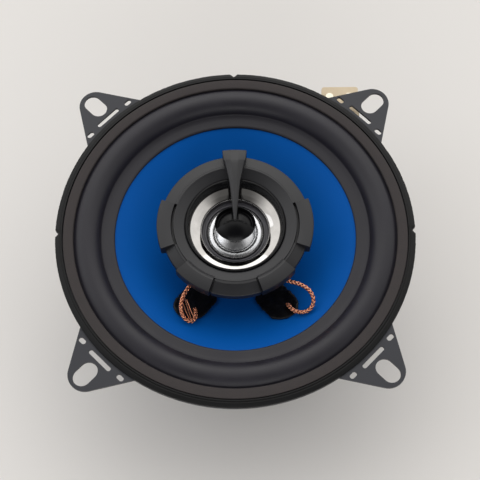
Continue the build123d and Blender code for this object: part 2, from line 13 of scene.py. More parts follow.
import bmesh
import bpy
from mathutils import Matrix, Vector, noise
from mathutils.kdtree import KDTree
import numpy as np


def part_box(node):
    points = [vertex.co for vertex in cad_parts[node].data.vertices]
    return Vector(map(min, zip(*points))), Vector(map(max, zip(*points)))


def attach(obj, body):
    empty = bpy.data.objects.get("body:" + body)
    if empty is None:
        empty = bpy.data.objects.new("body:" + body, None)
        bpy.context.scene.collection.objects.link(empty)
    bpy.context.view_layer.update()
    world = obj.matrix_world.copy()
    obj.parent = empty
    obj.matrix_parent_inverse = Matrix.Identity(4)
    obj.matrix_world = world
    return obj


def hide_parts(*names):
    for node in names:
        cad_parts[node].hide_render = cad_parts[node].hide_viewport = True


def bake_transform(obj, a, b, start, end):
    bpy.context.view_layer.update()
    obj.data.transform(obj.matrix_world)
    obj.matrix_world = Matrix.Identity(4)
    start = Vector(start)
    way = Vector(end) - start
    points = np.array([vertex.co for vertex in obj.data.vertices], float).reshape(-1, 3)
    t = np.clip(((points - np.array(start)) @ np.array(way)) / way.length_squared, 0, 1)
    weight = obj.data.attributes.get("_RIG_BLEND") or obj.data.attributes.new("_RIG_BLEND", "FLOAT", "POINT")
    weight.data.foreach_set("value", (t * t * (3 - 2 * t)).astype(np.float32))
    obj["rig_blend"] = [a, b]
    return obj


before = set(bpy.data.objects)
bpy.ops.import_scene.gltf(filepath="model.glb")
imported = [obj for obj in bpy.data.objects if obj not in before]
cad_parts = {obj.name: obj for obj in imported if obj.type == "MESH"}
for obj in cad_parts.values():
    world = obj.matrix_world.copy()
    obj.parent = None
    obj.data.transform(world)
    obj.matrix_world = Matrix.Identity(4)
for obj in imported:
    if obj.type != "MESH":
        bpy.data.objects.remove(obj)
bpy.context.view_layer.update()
MM = 0.001

# %% [markdown]
# Two small tools come first. One turns a colour from a paint chart, which is an sRGB hex code, to
# the linear numbers that a renderer adds up. The other puts a node in a tree with its settings and
# its links in one line, so that each material below reads as a recipe.

# %% Colour and node helpers
def srgb(code):
    """Linear red, green, blue and alpha of an sRGB hex colour."""
    channels = [int(code[i:i + 2], 16) / 255 for i in (1, 3, 5)]
    return (*(c / 12.92 if c <= 0.04045 else ((c + 0.055) / 1.055) ** 2.4 for c in channels), 1.0)


def add_node(tree, kind, values=None, links=None, **settings):
    """Adds a node with settings, socket values and links from other nodes' sockets."""
    node = tree.nodes.new(kind)
    for key, value in settings.items():
        setattr(node, key, value)
    for key, value in (values or {}).items():
        node.inputs[key].default_value = value
    for key, source in (links or {}).items():
        tree.links.new(source, node.inputs[key])
    return node


print("mid grey is", round(srgb("#808080")[0], 3), "in linear light")

# %% [markdown]
# Nearly every finish on a speaker has the same make-up: one colour that drifts a little over
# centimetres, a gloss that drifts with it, and a fine grain from the mould, the paint or the press.
# A function builds that base from real sizes in millimetres. The patches and the grain are noise on
# Object coordinates, so they stay on the piece when it moves.

# %% The base finish
COLOUR_A, COLOUR_B, COLOUR_OUT = 6, 7, 2


def base_finish(name, dark, light, roughness, patch_mm=12.0, grain_mm=0.5, grain_depth_mm=0.01,
                spread=0.05, **sockets):
    """A material with slow patches of colour and gloss, and a fine grain. Sizes are in mm."""
    material = bpy.data.materials.new(name)
    material.use_nodes = True
    material.diffuse_color = srgb(light)
    tree = material.node_tree
    shader = tree.nodes["Principled BSDF"]
    for socket, value in sockets.items():
        shader.inputs[socket.replace("_", " ")].default_value = value
    place = add_node(tree, "ShaderNodeTexCoord").outputs["Object"]
    patches = add_node(tree, "ShaderNodeTexNoise", {"Scale": 1 / (patch_mm * MM), "Detail": 3.0},
                       {"Vector": place})
    tint = add_node(tree, "ShaderNodeMix", {COLOUR_A: srgb(dark), COLOUR_B: srgb(light)},
                    {0: patches.outputs["Fac"]}, data_type="RGBA")
    gloss = add_node(tree, "ShaderNodeMapRange",
                     {"From Min": 0.3, "From Max": 0.7, "To Min": roughness - spread,
                      "To Max": roughness + spread}, {"Value": patches.outputs["Fac"]})
    grain = add_node(tree, "ShaderNodeTexNoise", {"Scale": 1 / (grain_mm * MM), "Detail": 2.0},
                     {"Vector": place})
    bump = add_node(tree, "ShaderNodeBump", {"Strength": 1.0, "Distance": grain_depth_mm * MM},
                    {"Height": grain.outputs["Fac"]})
    tree.links.new(tint.outputs[COLOUR_OUT], shader.inputs["Base Color"])
    tree.links.new(gloss.outputs["Result"], shader.inputs["Roughness"])
    tree.links.new(bump.outputs["Normal"], shader.inputs["Normal"])
    return material


print("base finish ready")

# %% [markdown]
# The metals. The basket is deep-drawn steel with a black cathodic dip paint: satin, slightly blue
# in daylight, with a faint orange peel. The motor's plates are zinc plated, which is a cool bright
# grey with a fine mottle. The rivets and the centre screw have the same plating.

# %% Metal finishes
dip_paint = base_finish("cathodic_dip_paint_on_steel", "#26272c", "#313238", 0.45, 14.0, 0.9,
                        0.012, IOR=1.5, Specular_IOR_Level=0.38)
zinc_plate = base_finish("zinc_plated_steel", "#8d9094", "#b4b7ba", 0.34, 5.0, 0.35, 0.004,
                         Metallic=1.0)
phosphate = base_finish("phosphated_steel", "#2a2b2d", "#3b3c3f", 0.5, 4.0, 0.3, 0.004,
                        Metallic=0.8)
ferrite = base_finish("pressed_ferrite", "#2a2a2c", "#3a3a3c", 0.62, 3.0, 0.25, 0.012)
tin_plate = base_finish("tin_plated_brass", "#b9b2a0", "#d6d0c2", 0.28, 2.0, 0.3, 0.003,
                        Metallic=1.0)
copper = base_finish("bare_copper_wire", "#bd6a42", "#eeb090", 0.24, 1.2, 0.2, 0.003,
                     Metallic=1.0)
tinsel = base_finish("tinned_copper_braid", "#9a8f82", "#c4b9aa", 0.38, 1.5, 0.2, 0.003,
                     Metallic=1.0)
enamel = base_finish("enamelled_copper_wire", "#7c3a1c", "#a4552c", 0.25, 2.0, 0.3, 0.003,
                     Metallic=1.0)
print("metals:", dip_paint.name, zinc_plate.name, tin_plate.name, copper.name)

# %% [markdown]
# The plastics and rubbers. The cone is blue injection-moulded polypropylene, the tweeter's housing
# is black ABS from a spark-eroded mould, and the surround is butyl rubber: nearly black, with the
# grey bloom that such rubber gets. The gasket is a ring of grey-brown fibre foam, and the trim
# outside it is a harder black rubber.

# %% Plastic, rubber and foam finishes
cone_plastic = base_finish("blue_polypropylene", "#024e9b", "#0456a9", 0.5, 22.0, 0.6, 0.004,
                           IOR=1.49, Specular_IOR_Level=0.06)
abs_plastic = base_finish("black_abs", "#131316", "#1e1e22", 0.42, 9.0, 0.28, 0.010,
                          IOR=1.53, Specular_IOR_Level=0.4)
gloss_plastic = base_finish("gloss_black_abs", "#060608", "#0b0b0d", 0.24, 9.0, 0.5, 0.003,
                            IOR=1.53, Specular_IOR_Level=0.16)
butyl = base_finish("butyl_rubber", "#1a191f", "#232129", 0.46, 10.0, 0.35, 0.008, IOR=1.52,
                    Specular_IOR_Level=0.33)
hard_rubber = base_finish("moulded_rubber_trim", "#0a0a0b", "#121213", 0.5, 8.0, 0.4, 0.012,
                          IOR=1.52, Specular_IOR_Level=0.2)
fibre_foam = base_finish("fibre_foam_gasket", "#252121", "#3b3535", 0.85, 2.4, 0.45, 0.06)
black_glue = base_finish("black_contact_glue", "#08080a", "#101013", 0.38, 3.0, 0.8, 0.12,
                         spread=0.12, IOR=1.46, Specular_IOR_Level=0.22)
hot_melt = base_finish("hot_melt_glue", "#b59a63", "#d2bb88", 0.3, 5.0, 1.5, 0.04, IOR=1.48)
former_film = base_finish("polyimide_film", "#6b3f14", "#8a5520", 0.3, 6.0, 0.5, 0.002, IOR=1.6)
grey_abs = base_finish("grey_moulded_ring", "#38373d", "#504f56", 0.35, 3.0, 0.3, 0.012, IOR=1.5)
sleeve = base_finish("capacitor_sleeve", "#1c2b3a", "#243546", 0.25, 6.0, 0.5, 0.002, IOR=1.54)
print("plastics:", cone_plastic.name, abs_plastic.name, butyl.name)

# %% [markdown]
# Two finishes are mirrors of different quality. The reflector round the tweeter's dome is chrome
# plated plastic, so it shows the room sharply. The dome itself is a metallised film, softer and a
# little crumpled by its press.

# %% Bright finishes
chrome = base_finish("chrome_plated_abs", "#a5a3a1", "#c4c1be", 0.06, 3.0, 2.5, 0.006,
                     spread=0.03, Metallic=1.0)
metal_film = base_finish("metallised_film", "#c2c3c6", "#e2e3e6", 0.24, 1.2, 0.5, 0.02,
                         Metallic=1.0)
print("bright:", chrome.name, metal_film.name)

# %% [markdown]
# Most of a speaker is round, so most pieces are an outline turned about the axis. The real outlines
# have no sharp corners: rubber, plastic and bent sheet all have small radii, and those radii are
# what catches the light. One helper rounds the corners of an outline, one draws an arc through
# three points, and one turns the result into a closed mesh. The outline may also depend on the
# angle, which gives notches and blocks in the same way.

# %% Outline and turning helpers
def rounded(corners, steps=4, closed=True):
    """Points of an outline, where a corner (r, z, fillet) gets an arc of that radius."""
    points = []
    for i, (r, z, *fillet) in enumerate(corners):
        at_end = not closed and i in (0, len(corners) - 1)
        if at_end or not fillet:
            points.append((r, z))
            continue
        here = Vector((r, z))
        before = (Vector(corners[i - 1][:2]) - here).normalized()
        after = (Vector(corners[(i + 1) % len(corners)][:2]) - here).normalized()
        half = before.angle(after) / 2
        centre = here + (before + after).normalized() * fillet[0] / sin(half)
        first = here + before * fillet[0] / tan(half) - centre
        last = here + after * fillet[0] / tan(half) - centre
        turn = atan2(first.x * last.y - first.y * last.x, first.dot(last))
        start = atan2(first.y, first.x)
        for k in range(steps + 1):
            a = start + turn * k / steps
            points.append((centre.x + fillet[0] * cos(a), centre.y + fillet[0] * sin(a)))
    return points


def arc(start, through, end, steps=24):
    """Points on the circle through three (r, z) points, from the first to the last."""
    (ax, ay), (bx, by), (cx, cy) = start, through, end
    d = 2 * (ax * (by - cy) + bx * (cy - ay) + cx * (ay - by))
    a2, b2, c2 = ax * ax + ay * ay, bx * bx + by * by, cx * cx + cy * cy
    ux = (a2 * (by - cy) + b2 * (cy - ay) + c2 * (ay - by)) / d
    uy = (a2 * (cx - bx) + b2 * (ax - cx) + c2 * (bx - ax)) / d
    first, mid, last = (atan2(y - uy, x - ux) for x, y in (start, through, end))
    sweep, part = (last - first) % (2 * pi), (mid - first) % (2 * pi)
    sweep = sweep if part < sweep else sweep - 2 * pi
    size = sqrt((ax - ux) ** 2 + (ay - uy) ** 2)
    return [(ux + size * cos(first + sweep * k / steps), uy + size * sin(first + sweep * k / steps))
            for k in range(steps + 1)]


def as_piece(name, points_mm, faces, material, sharp=38):
    """A linked object from points in mm, with outward normals and smooth shading."""
    mesh = bpy.data.meshes.new(name)
    mesh.from_pydata([Vector(p) * MM for p in points_mm], [], faces)
    work = bmesh.new()
    work.from_mesh(mesh)
    bmesh.ops.recalc_face_normals(work, faces=work.faces)
    work.to_mesh(mesh)
    work.free()
    mesh.materials.append(material)
    mesh.shade_smooth()
    mesh.set_sharp_from_angle(angle=radians(sharp))
    piece = bpy.data.objects.new(name, mesh)
    bpy.context.scene.collection.objects.link(piece)
    return piece


def turned(name, outline, material, angles=None, steps=256, sharp=38):
    """An outline of (r, z) points in mm turned about Z. It may be a function of the angle."""
    angles = angles or [360 * i / steps for i in range(steps)]
    rows = [outline(a) if callable(outline) else outline for a in angles]
    points, index = [], []
    for a, row in zip(angles, rows):
        numbers = []
        for j, (r, z) in enumerate(row):
            if r == 0 and index:
                numbers.append(index[0][j])
                continue
            numbers.append(len(points))
            points.append((r * cos(radians(a)), r * sin(radians(a)), z))
        index.append(numbers)
    count = len(rows[0])
    spans = count - 1 if rows[0][0][0] == 0 and rows[0][-1][0] == 0 else count
    faces = []
    for here, after in zip(index, index[1:] + index[:1]):
        for j in range(spans):
            k = (j + 1) % count
            face = list(dict.fromkeys((here[j], after[j], after[k], here[k])))
            if len(face) > 2:
                faces.append(face)
    return as_piece(name, points, faces, material, sharp)


def set_piece(piece, body, slot, *nodes):
    """Says what a finished piece rides on and hides the CAD nodes it stands for. The slot argument is not
    used.
    """
    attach(piece, body)
    if nodes:
        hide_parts(*nodes)
    print(piece.name, len(piece.data.polygons), "faces on", body)
    return piece


print("a rounded square has", len(rounded([(1, 0, .1), (2, 0, .1), (2, 1, .1), (1, 1, .1)])),
      "points")

# %% [markdown]
# Some CAD pieces already have the right shape and only miss the soft edges that a press, a mould or
# a tumbling drum leaves. A copy of such a node is merged, its flat faces are joined, and a Bevel
# takes the sharp edges off.

# %% Softening a copy of a CAD node
def softened(node, material, edge_mm, sharp=38):
    """A copy of a CAD node's mesh with its edges bevelled by edge_mm."""
    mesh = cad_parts[node].data.copy()
    mesh.name = node + "_finished"
    work = bmesh.new()
    work.from_mesh(mesh)
    bmesh.ops.remove_doubles(work, verts=work.verts, dist=0.002 * MM)
    bmesh.ops.dissolve_limit(work, angle_limit=radians(0.6), verts=work.verts, edges=work.edges)
    work.to_mesh(mesh)
    work.free()
    mesh.materials.clear()
    mesh.materials.append(material)
    piece = bpy.data.objects.new(node + "_finished", mesh)
    bpy.context.scene.collection.objects.link(piece)
    bevel = piece.modifiers.new("edges", "BEVEL")
    bevel.width, bevel.segments, bevel.limit_method = edge_mm * MM, 2, "ANGLE"
    bevel.angle_limit, bevel.harden_normals = radians(32), True
    mesh.shade_smooth()
    mesh.set_sharp_from_angle(angle=radians(sharp))
    view = bpy.context.evaluated_depsgraph_get()
    soft = bpy.data.meshes.new_from_object(piece.evaluated_get(view), depsgraph=view)
    piece.modifiers.clear()
    piece.data = soft
    return piece


# %% [markdown]
# The basket is one pressing of sheet steel, with four ears that carry a slot and three piercings
# each. Its shape is right in CAD, so it is softened: a blanked edge has a small roll-over that
# shows as a thin light line round each slot.

# %% Basket, its rivets' plates and the motor
set_piece(softened("basket", dip_paint, 0.14), "frame", "black_steel", "basket")
set_piece(softened("yoke", zinc_plate, 0.2), "frame", "zinc_steel", "yoke")
set_piece(softened("top_plate", zinc_plate, 0.2), "frame", "zinc_steel", "top_plate")
set_piece(softened("ring_magnet", ferrite, 0.25), "frame", "ferrite", "ring_magnet")
set_piece(softened("post_screw", zinc_plate, 0.12), "frame", "screw_steel", "post_screw")
set_piece(softened("tweeter_post", zinc_plate, 0.15), "frame", "zinc_steel", "tweeter_post")

# %% [markdown]
# Geometry Nodes take over where something repeats or follows a path. Each tree gets one geometry in
# and one out, a named input for each size, and ends in Realize Instances and Set Material, so that
# the result can be read back as a plain mesh.

# %% Geometry Nodes helpers
def new_rule(title, sizes):
    """A Geometry Nodes tree with a named input for each size. Returns it and its input sockets."""
    tree = bpy.data.node_groups.new(title, "GeometryNodeTree")
    tree.interface.new_socket("Geometry", in_out="INPUT", socket_type="NodeSocketGeometry")
    for name, kind in sizes.items():
        tree.interface.new_socket(name, in_out="INPUT", socket_type="NodeSocket" + kind)
    tree.interface.new_socket("Geometry", in_out="OUTPUT", socket_type="NodeSocketGeometry")
    return tree, tree.nodes.new("NodeGroupInput").outputs


def close_rule(tree, geometry):
    """Ends a tree in Realize Instances, Set Material and the output."""
    sockets = [n for n in tree.nodes if n.bl_idname == "NodeGroupInput"][0].outputs
    real = add_node(tree, "GeometryNodeRealizeInstances", links={"Geometry": geometry})
    dressed = add_node(tree, "GeometryNodeSetMaterial",
                       links={"Geometry": real.outputs["Geometry"], "Material": sockets["Finish"]})
    add_node(tree, "NodeGroupOutput", links={"Geometry": dressed.outputs["Geometry"]})


def grown(name, tree, values, seed_points=((0, 0, 0),), seed_edges=(), sharp=60):
    """A plain mesh piece that the tree makes from a seed of points and edges, both in metres."""
    seed = bpy.data.meshes.new(name)
    seed.from_pydata([tuple(p) for p in seed_points], list(seed_edges), [])
    piece = bpy.data.objects.new(name, seed)
    bpy.context.scene.collection.objects.link(piece)
    rule = piece.modifiers.new("rule", "NODES")
    rule.node_group = tree
    for item in tree.interface.items_tree:
        if item.in_out == "INPUT" and item.name in values:
            rule[item.identifier] = values[item.name]
    view = bpy.context.evaluated_depsgraph_get()
    mesh = bpy.data.meshes.new_from_object(piece.evaluated_get(view), depsgraph=view)
    piece.modifiers.clear()
    piece.data = mesh
    mesh.shade_smooth()
    mesh.set_sharp_from_angle(angle=radians(sharp))
    return piece


print("rules ready")

# %% [markdown]
# Four clinched rivets hold the basket to the top plate. They are all alike and stand on one circle,
# which is the simplest thing that instances do: a circle of points, and one head on each.

# %% Rivet heads on a circle
rivet_rule, size = new_rule("heads_on_a_circle", {
    "Count": "Int", "Circle Radius": "Float", "Height": "Float", "Head Radius": "Float",
    "Head Rise": "Float", "Start Angle": "Float", "Finish": "Material"})
ring = add_node(rivet_rule, "GeometryNodeMeshCircle",
                links={"Vertices": size["Count"], "Radius": size["Circle Radius"]})
turn_vector = add_node(rivet_rule, "ShaderNodeCombineXYZ", links={"Z": size["Start Angle"]})
lift_vector = add_node(rivet_rule, "ShaderNodeCombineXYZ", links={"Z": size["Height"]})
placed = add_node(rivet_rule, "GeometryNodeTransform",
                  links={"Geometry": ring.outputs["Mesh"], "Rotation": turn_vector.outputs[0],
                         "Translation": lift_vector.outputs[0]})
ball = add_node(rivet_rule, "GeometryNodeMeshUVSphere",
                {"Segments": 24, "Rings": 12}, {"Radius": size["Head Radius"]})
squashed = add_node(rivet_rule, "ShaderNodeMath",
                    links={0: size["Head Rise"], 1: size["Head Radius"]}, operation="DIVIDE")
head_scale = add_node(rivet_rule, "ShaderNodeCombineXYZ", {"X": 1.0, "Y": 1.0},
                      {"Z": squashed.outputs[0]})
head = add_node(rivet_rule, "GeometryNodeTransform",
                links={"Geometry": ball.outputs["Mesh"], "Scale": head_scale.outputs[0]})
heads = add_node(rivet_rule, "GeometryNodeInstanceOnPoints",
                 links={"Points": placed.outputs["Geometry"], "Instance": head.outputs["Geometry"]})
close_rule(rivet_rule, heads.outputs["Instances"])
rivet_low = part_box("basket_rivets")[0].z
RIVETS, RIVET_CIRCLE, HEAD_R, HEAD_RISE = 4, 21.0, 1.6, 0.8
set_piece(grown("rivet_heads", rivet_rule, {
    "Count": RIVETS, "Circle Radius": RIVET_CIRCLE * MM, "Height": rivet_low,
    "Head Radius": HEAD_R * MM, "Head Rise": HEAD_RISE * MM, "Start Angle": radians(45),
    "Finish": zinc_plate}),
    "frame", "rivet_metal", "basket_rivets")

# %% [markdown]
# The gasket is die-cut from fibre foam. Its faces are flat but its cut edges are soft, and its
# surface has a felted grain that the finish gives.

# %% Gasket ring
FLANGE_TOP, GASKET_TOP = 44.8, 46.1
EDGE_TOP = FLANGE_TOP + 0.5
GASKET_IN, GASKET_OUT = 45.8, 48.7
set_piece(turned("gasket", rounded([
    (GASKET_IN, EDGE_TOP), (GASKET_OUT, EDGE_TOP), (GASKET_OUT, GASKET_TOP, 0.25),
    (GASKET_IN, GASKET_TOP, 0.35)]), fibre_foam), "frame", "gasket_foam", "gasket_ring")

# %% [markdown]
# Outside it, a black rubber trim closes the rim. It has a narrow bead that catches the light, a
# small step, and then falls away to the basket's edge. Three V notches mark places between the
# ears, and the cut edge wanders a little. Both are part of the outline's rule: near a notch the
# outer radius shrinks, and slow noise takes a tenth of a millimetre off it elsewhere.

# %% Rim trim with its notches
TRIM_IN, RIM_R, NOTCH_DEPTH, NOTCH_HALF = 48.95, 51.0, 0.95, 1.25
ROUGH_EDGE, ROUGH_LUMPS = 0.14, 45
NOTCHES = (45, 135, 225)


def trim_outline(angle):
    near = min(abs((angle - n + 180) % 360 - 180) for n in NOTCHES)
    bite = NOTCH_DEPTH * max(0.0, 1 - near / NOTCH_HALF)
    wander = abs(noise.noise(Vector((cos(radians(angle)), sin(radians(angle)), 0)) * ROUGH_LUMPS))
    out = RIM_R - bite - ROUGH_EDGE * wander
    step = 49.6 - 0.25 * bite
    return rounded([(TRIM_IN, EDGE_TOP), (50.0, EDGE_TOP), (50.02, FLANGE_TOP + 0.02),
                    (out, FLANGE_TOP), (out, GASKET_TOP - 0.75, 0.12),
                    (step + 0.25, GASKET_TOP - 0.3, 0.1), (step - 0.15, GASKET_TOP - 0.35, 0.05),
                    (step - 0.25, GASKET_TOP, 0.12),
                    (TRIM_IN, GASKET_TOP, 0.1)], 3)


trim_angles = sorted(set([i * 0.5 for i in range(720)] + [n + d * NOTCH_HALF for n in NOTCHES
                                                         for d in (-1, -0.5, 0, 0.5, 1)]))
set_piece(turned("rubber_trim", trim_outline, hard_rubber, trim_angles),
          "frame", "rim_rubber", "rim_trim")

# %% [markdown]
# The surround is a single half roll of butyl rubber. It is glued under the gasket outside and over
# the cone's rim inside, and it bends when the cone moves. So it is one mesh that follows the frame
# at its outer radius and the cone at its inner one, with a smooth weight between the two radii.

# %% Surround
ROLL_IN, ROLL_OUT, ROLL_TOP = 38.2, 45.5, 46.9
ROLL_MID = (ROLL_IN + ROLL_OUT) / 2
roll_top = arc((ROLL_IN, 43.7), (ROLL_MID, ROLL_TOP), (ROLL_OUT, EDGE_TOP), 40)
roll_low = arc((ROLL_OUT - 0.5, FLANGE_TOP), (ROLL_MID, ROLL_TOP - 0.5), (ROLL_IN + 0.5, 43.3), 40)
surround_outline = ([(34.3, 42.62), (34.28, 42.95), (34.5, 43.18), (35.0, 43.2), (36.6, 43.42)]
                    + [(37.9, 43.62)] + roll_top[1:] + [(49.9, EDGE_TOP), (49.9, FLANGE_TOP)]
                    + roll_low + [(38.1, 43.22)])
surround = turned("rubber_surround", surround_outline, butyl, steps=320, sharp=60)


def smooth_share(value):
    """An S curve from 0 to 1."""
    value = min(1.0, max(0.0, value))
    return value * value * (3 - 2 * value)


def blend_with(piece, share_of):
    """The piece bends between frame and cone. share_of gives each point's share of the cone."""
    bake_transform(piece, "frame", "cone", start=(0.05, 0, 0.045), end=(0.03, 0, 0.045))
    weights = piece.data.attributes["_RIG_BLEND"]
    for point, vertex in zip(weights.data, piece.data.vertices):
        point.value = share_of(vertex.co / MM)


def roll_share(co):
    return smooth_share((ROLL_OUT - co.xy.length) / (ROLL_OUT - ROLL_IN))


blend_with(surround, roll_share)
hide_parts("surround")
print("surround", len(surround.data.polygons), "faces, blended by radius")

# %% [markdown]
# The cone is moulded in blue plastic, 0.8 mm thick, with a curved flare. It is a turned outline
# with both faces, so the back of the cone is right too when one looks through the basket's windows.

# %% Cone
flare = arc((12.6, 30.6), (23.0, 36.9), (34.3, 42.6), 48)
back = arc((34.6, 41.7), (23.4, 36.1), (13.0, 29.8), 48)
set_piece(turned("blue_cone", flare + [(36.2, 42.9), (38.05, 43.18), (38.1, 42.5)] + back
                 + [(12.6, 29.5)], cone_plastic, steps=320, sharp=50), "cone", "cone_blue", "cone")

# %% [markdown]
# Behind the cone, the spider centres the voice coil. It is a cloth disc, dipped in resin and
# pressed into waves. The waves follow a sine rule in the radius, and the cloth's weave is drawn by
# two crossed sets of threads in its finish.

# %% Spider
def weave(material, thread_mm, depth_mm):
    """Adds crossed threads to a finish's bump, thread_mm apart."""
    band = pi / 10  # a wave texture of scale 1 has a band this wide
    tree = material.node_tree
    place = [n for n in tree.nodes if n.bl_idname == "ShaderNodeTexCoord"][0].outputs["Object"]
    threads = [add_node(tree, "ShaderNodeTexWave", {"Scale": band / (thread_mm * MM)},
                        {"Vector": place}, wave_type="BANDS", bands_direction=axis)
               for axis in ("X", "Y")]
    crossed = add_node(tree, "ShaderNodeMath", links={0: threads[0].outputs["Fac"],
                                                      1: threads[1].outputs["Fac"]},
                       operation="MAXIMUM")
    bump = [n for n in tree.nodes if n.bl_idname == "ShaderNodeBump"][0]
    second = add_node(tree, "ShaderNodeBump", {"Strength": 1.0, "Distance": depth_mm * MM},
                      {"Height": crossed.outputs[0], "Normal": bump.outputs["Normal"]})
    tree.links.new(second.outputs["Normal"], tree.nodes["Principled BSDF"].inputs["Normal"])


resin_cloth = base_finish("resin_dipped_cloth", "#9a7a45", "#b8965a", 0.7, 4.0, 0.3, 0.02)
weave(resin_cloth, 0.6, 0.06)
WAVES, WAVE_HEIGHT, WAVE_IN, WAVE_OUT = 5, 0.7, 14.2, 27.4
SPIDER_Z, CLOTH_HALF = 27.2, 0.2


def spider_height(r):
    along = (r - WAVE_IN) / (WAVE_OUT - WAVE_IN)
    return SPIDER_Z - (WAVE_HEIGHT * sin(2 * pi * WAVES * along) if 0 < along < 1 else 0.0)


radii = [12.65, 13.4] + [WAVE_IN + (WAVE_OUT - WAVE_IN) * k / 80 for k in range(81)] + [29.0, 30.8]
spider = turned("cloth_spider", [(r, spider_height(r) - CLOTH_HALF) for r in radii]
                + [(r, spider_height(r) + CLOTH_HALF) for r in reversed(radii)], resin_cloth,
                steps=160, sharp=60)
blend_with(spider, lambda co: smooth_share((WAVE_OUT - co.xy.length) / (WAVE_OUT - WAVE_IN)))
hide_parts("spider")
print("spider", len(spider.data.polygons), "faces")

# %% [markdown]
# The voice coil is enamelled copper wire wound on a thin film tube. A spiral curve with a round
# section is exactly what a winding is, so a small rule winds it: turns, length and wire size are
# its inputs.

# %% Voice coil
winding_rule, size = new_rule("wound_wire", {
    "Turns": "Float", "Coil Radius": "Float", "Length": "Float", "Wire Radius": "Float",
    "Low End": "Float", "Finish": "Material"})
helix = add_node(winding_rule, "GeometryNodeCurveSpiral", {"Resolution": 40},
                 {"Rotations": size["Turns"], "Start Radius": size["Coil Radius"],
                  "End Radius": size["Coil Radius"], "Height": size["Length"]})
wire = add_node(winding_rule, "GeometryNodeCurvePrimitiveCircle", {"Resolution": 6},
                {"Radius": size["Wire Radius"]})
wound = add_node(winding_rule, "GeometryNodeCurveToMesh", {"Fill Caps": True},
                 {"Curve": helix.outputs["Curve"], "Profile Curve": wire.outputs["Curve"]})
lift_vector = add_node(winding_rule, "ShaderNodeCombineXYZ", links={"Z": size["Low End"]})
lifted = add_node(winding_rule, "GeometryNodeTransform",
                  links={"Geometry": wound.outputs["Mesh"], "Translation": lift_vector.outputs[0]})
close_rule(winding_rule, lifted.outputs["Geometry"])
winding_low, winding_high = (corner.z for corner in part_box("voice_coil_winding"))
WIRE_R, COIL_R, PITCH = 0.14 * MM, 12.88 * MM, 2.05  # the pitch is in wire radii
set_piece(grown("coil_winding", winding_rule, {
    "Turns": (winding_high - winding_low - 2 * WIRE_R) / (PITCH * WIRE_R),
    "Coil Radius": COIL_R, "Length": winding_high - winding_low - 2 * WIRE_R,
    "Wire Radius": WIRE_R, "Low End": winding_low + WIRE_R, "Finish": enamel}),
    "cone", "copper_wire", "voice_coil_winding")
set_piece(softened("voice_coil_former", former_film, 0.03), "cone", "coil_foil",
          "voice_coil_former")

# %% [markdown]
# The tweeter's housing is the piece the eye goes to. It is black ABS with a sloping ring, a ridge,
# and an inward cone with fine turned lines down to the lip. Two side blocks, two front pads and the
# recesses between them break the ring up. All of these are changes of the outline with the angle,
# so the housing is turned with an outline rule, and extra angles are put where a block starts.

# %% Tweeter housing
BRIDGE = 135.0
BLOCKS = ((BRIDGE + 70, 40), (BRIDGE - 110, 40))
PADS = ((BRIDGE + 130, 30), (BRIDGE - 160, 30))
RECESSES = ((BRIDGE + 110, 20), (BRIDGE - 130, 20))
GROOVES = ((BRIDGE + 160, 1.1), (BRIDGE - 161.1, 1.1))
EDGE_SOFT = 0.5


def inside(angle, spans):
    """1 within any of the (start, size) spans of angles, 0 outside, with a short ramp."""
    best = 0.0
    for start, width in spans:
        off = abs((angle - start - width / 2 + 180) % 360 - 180)
        best = max(best, min(1.0, max(0.0, (width / 2 - off) / EDGE_SOFT + 0.5)))
    return best


def housing_outline(angle):
    block, pad = inside(angle, BLOCKS), inside(angle, PADS)
    recess, groove = inside(angle, RECESSES), inside(angle, GROOVES)
    edge_r = 21.15 + 0.75 * block + 0.35 * pad - 0.5 * recess - 0.35 * groove
    edge_h = 4.1 + 1.35 * block + 1.35 * pad - 0.5 * recess - 0.5 * groove
    step_h = 5.2 + 0.3 * block + 0.6 * pad - 0.25 * recess - 0.45 * groove
    slot_h = 5.3 - 1.3 * block + 0.45 * pad - 0.2 * recess - 0.35 * groove
    ridge_h = 5.5 + 0.15 * pad - 0.1 * groove
    lines = []
    for k in range(7):
        r = 16.75 - 0.38 * k
        lines += [(r, 5.42 - (17.0 - r) * 0.43), (r - 0.19, 5.28 - (17.0 - r) * 0.43)]
    corners = [(0, -8.6), (11.5, -8.6, 0.6), (13.5, -6.6, 0.8), (13.5, -0.8, 0.8),
               (edge_r - 0.6, 1.3, 0.3), (edge_r, 1.9, 0.2), (edge_r, edge_h, 0.35),
               (17.95, step_h, 0.08), (17.85, slot_h), (17.3, slot_h + 0.03),
               (17.2, ridge_h, 0.1)] + lines + [
               (14.1, 4.1), (14.05, 1.4), (12.9, 1.4), (12.9, -2.3), (7.65, -2.3),
               (7.65, -7.4), (0, -7.4)]
    return [(r, z + GASKET_TOP) for r, z in rounded(corners, 3, closed=False)]


housing_angles = [i * 1.25 for i in range(288)]
for start, width in BLOCKS + PADS + RECESSES + GROOVES:
    for side in (start, start + width):
        housing_angles += [(side + d * EDGE_SOFT) % 360 for d in (-0.9, -0.5, 0, 0.5, 0.9)]
housing_angles = sorted(set(round(a, 3) for a in housing_angles))
set_piece(turned("tweeter_ring", housing_outline, abs_plastic, housing_angles, sharp=34),
          "frame", "black_plastic", "tweeter_housing")

# %% [markdown]
# Inside the ring sit a glossy lip, the chrome horn, a grey ring that clamps the dome, and the dome
# with its rolled edge. The horn has a flat mouth, which mirrors the bright side of the room, and a
# short steep throat, which is dark.

# %% Lip, horn, clamp ring and dome
def raised(points):
    """The same (r, h, ...) points, with h measured from the gasket's top."""
    return [(r, h + GASKET_TOP, *rest) for r, h, *rest in points]


